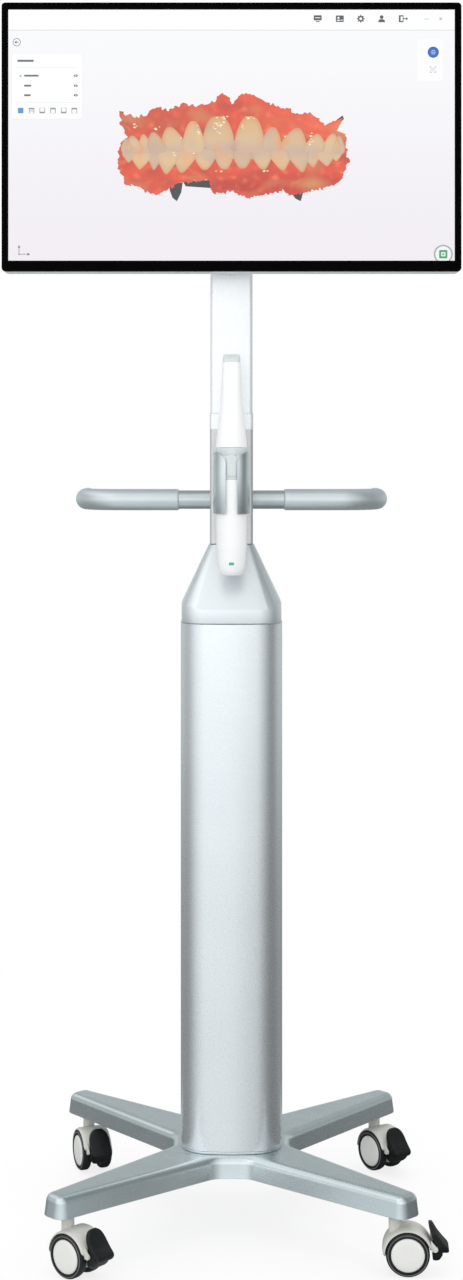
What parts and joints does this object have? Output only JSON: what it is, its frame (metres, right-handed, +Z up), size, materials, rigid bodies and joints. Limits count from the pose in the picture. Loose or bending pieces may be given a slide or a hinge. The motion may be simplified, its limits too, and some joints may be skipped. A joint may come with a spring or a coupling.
{
  "type": "intraoral scanner cart",
  "caption": "Dental scanner handpiece in a cradle on a wheeled cart: X base with braked castors, column, post, handle and tilting display.",
  "frame": {"origin": "on the floor, at the middle of the footprint; the column's axis is 8 mm behind it", "axes": "+Z up, -Y towards the user who looks at the display, +X to that user's right"},
  "size_m": [0.5424, 0.4447, 1.4564],
  "materials": {
    "silver_paint": "satin silver paint",
    "column_satin": "satin anodised",
    "white_paint": "white powder coat",
    "steel": "satin",
    "cradle_metal": "satin grey",
    "grip_grey": "satin",
    "scanner_white": "gloss",
    "scanner_grey": "satin",
    "status_green": "translucent",
    "optics_black": "matte",
    "mirror": "polished",
    "bezel_black": "gloss",
    "screen": "glass-like",
    "display_white": "fine matte",
    "hood_pale": "satin",
    "pedal_black": "satin",
    "wheel_white": "satin",
    "tyre_black": "matte"
  },
  "bodies": {
    "root": {"base": "silver_paint", "foot_ring": "silver_paint", "column": "column_satin", "shroud": "silver_paint", "lower_post": "column_satin", "post_collar": "white_paint", "upper_post": "white_paint", "handle_bar": "steel", "left_grip": "grip_grey", "right_grip": "grip_grey", "cradle": "cradle_metal", "cradle_bracket": "cradle_metal", "control_ring": "scanner_grey", "scanner_front_shell": "scanner_white", "scanner_rear_shell": "scanner_white", "status_light": "status_green", "optics_barrel": "optics_black", "tilt_bracket": "steel", "tilt_pin": "steel", "front_left_stem": "steel", "front_right_stem": "steel", "rear_left_stem": "steel", "rear_right_stem": "steel"},
    "display": {"display_frame": "bezel_black", "display_panel": "screen", "display_back": "display_white", "power_inlet": "bezel_black", "mount_plate": "steel"},
    "scanner_tip": {"scanner_tip": "scanner_white", "tip_mirror": "mirror"},
    "scan_button": {"scan_button": "scanner_grey"},
    "front_left_castor": {"front_left_hood": "hood_pale", "front_left_axle": "steel"},
    "front_left_wheel_left": {"front_left_wheel_left": "wheel_white", "front_left_tyre_left": "tyre_black"},
    "front_left_wheel_right": {"front_left_wheel_right": "wheel_white", "front_left_tyre_right": "tyre_black"},
    "front_left_pedal": {"front_left_pedal": "pedal_black"},
    "front_right_castor": {"front_right_hood": "hood_pale", "front_right_axle": "steel"},
    "front_right_wheel_left": {"front_right_wheel_left": "wheel_white", "front_right_tyre_left": "tyre_black"},
    "front_right_wheel_right": {"front_right_wheel_right": "wheel_white", "front_right_tyre_right": "tyre_black"},
    "front_right_pedal": {"front_right_pedal": "pedal_black"},
    "rear_left_castor": {"rear_left_hood": "hood_pale", "rear_left_axle": "steel"},
    "rear_left_wheel_left": {"rear_left_wheel_left": "wheel_white", "rear_left_tyre_left": "tyre_black"},
    "rear_left_wheel_right": {"rear_left_wheel_right": "wheel_white", "rear_left_tyre_right": "tyre_black"},
    "rear_left_pedal": {"rear_left_pedal": "pedal_black"},
    "rear_right_castor": {"rear_right_hood": "hood_pale", "rear_right_axle": "steel"},
    "rear_right_wheel_left": {"rear_right_wheel_left": "wheel_white", "rear_right_tyre_left": "tyre_black"},
    "rear_right_wheel_right": {"rear_right_wheel_right": "wheel_white", "rear_right_tyre_right": "tyre_black"},
    "rear_right_pedal": {"rear_right_pedal": "pedal_black"}
  },
  "joints": [
    {"name": "display_tilt", "type": "hinge", "parent": "root", "child": "display", "pos_m": [0, 0, 1.298], "axis": [-1, 0, 0], "range_deg": [-3, 15]},
    {"name": "scanner_tip_slide", "type": "slide", "parent": "root", "child": "scanner_tip", "axis": [0, 0, 1], "range_m": [0, 0.075]},
    {"name": "scan_button_press", "type": "slide", "parent": "root", "child": "scan_button", "axis": [0, 1, 0], "range_m": [0, 0.001], "stiffness_N_per_m": 800},
    {"name": "front_left_swivel", "type": "hinge", "parent": "root", "child": "front_left_castor", "pos_m": [-0.185, -0.177, 0.05], "axis": [0, 0, 1], "continuous": true},
    {"name": "front_left_wheel_left_spin", "type": "hinge", "parent": "front_left_castor", "child": "front_left_wheel_left", "pos_m": [-0.17428, -0.186, 0.02479], "axis": [0.6428, 0.766, 0], "continuous": true},
    {"name": "front_left_wheel_right_spin", "type": "hinge", "parent": "front_left_castor", "child": "front_left_wheel_right", "pos_m": [-0.17428, -0.186, 0.02479], "axis": [0.6428, 0.766, 0], "continuous": true},
    {"name": "front_left_brake", "type": "hinge", "parent": "front_left_castor", "child": "front_left_pedal", "pos_m": [-0.15053, -0.20592, 0.03079], "axis": [0.6428, 0.766, 0], "range_deg": [0, 12]},
    {"name": "front_right_swivel", "type": "hinge", "parent": "root", "child": "front_right_castor", "pos_m": [0.185, -0.177, 0.05], "axis": [0, 0, 1], "continuous": true},
    {"name": "front_right_wheel_left_spin", "type": "hinge", "parent": "front_right_castor", "child": "front_right_wheel_left", "pos_m": [0.19898, -0.17773, 0.02479], "axis": [0.0523, 0.9986, 0], "continuous": true},
    {"name": "front_right_wheel_right_spin", "type": "hinge", "parent": "front_right_castor", "child": "front_right_wheel_right", "pos_m": [0.19898, -0.17773, 0.02479], "axis": [0.0523, 0.9986, 0], "continuous": true},
    {"name": "front_right_brake", "type": "hinge", "parent": "front_right_castor", "child": "front_right_pedal", "pos_m": [0.22994, -0.17935, 0.03079], "axis": [0.0523, 0.9986, 0], "range_deg": [0, 12]},
    {"name": "rear_left_swivel", "type": "hinge", "parent": "root", "child": "rear_left_castor", "pos_m": [-0.185, 0.193, 0.05], "axis": [0, 0, 1], "continuous": true},
    {"name": "rear_left_wheel_left_spin", "type": "hinge", "parent": "rear_left_castor", "child": "rear_left_wheel_left", "pos_m": [-0.17998, 0.17993, 0.02479], "axis": [0.9336, 0.3584, 0], "continuous": true},
    {"name": "rear_left_wheel_right_spin", "type": "hinge", "parent": "rear_left_castor", "child": "rear_left_wheel_right", "pos_m": [-0.17998, 0.17993, 0.02479], "axis": [0.9336, 0.3584, 0], "continuous": true},
    {"name": "rear_left_brake", "type": "hinge", "parent": "rear_left_castor", "child": "rear_left_pedal", "pos_m": [-0.16887, 0.15099, 0.03079], "axis": [0.9336, 0.3584, 0], "range_deg": [0, 12]},
    {"name": "rear_right_swivel", "type": "hinge", "parent": "root", "child": "rear_right_castor", "pos_m": [0.185, 0.193, 0.05], "axis": [0, 0, 1], "continuous": true},
    {"name": "rear_right_wheel_left_spin", "type": "hinge", "parent": "rear_right_castor", "child": "rear_right_wheel_left", "pos_m": [0.19303, 0.18153, 0.02479], "axis": [0.8192, 0.5736, 0], "continuous": true},
    {"name": "rear_right_wheel_right_spin", "type": "hinge", "parent": "rear_right_castor", "child": "rear_right_wheel_right", "pos_m": [0.19303, 0.18153, 0.02479], "axis": [0.8192, 0.5736, 0], "continuous": true},
    {"name": "rear_right_brake", "type": "hinge", "parent": "rear_right_castor", "child": "rear_right_pedal", "pos_m": [0.21081, 0.15614, 0.03079], "axis": [0.8192, 0.5736, 0], "range_deg": [0, 12]}
  ]
}
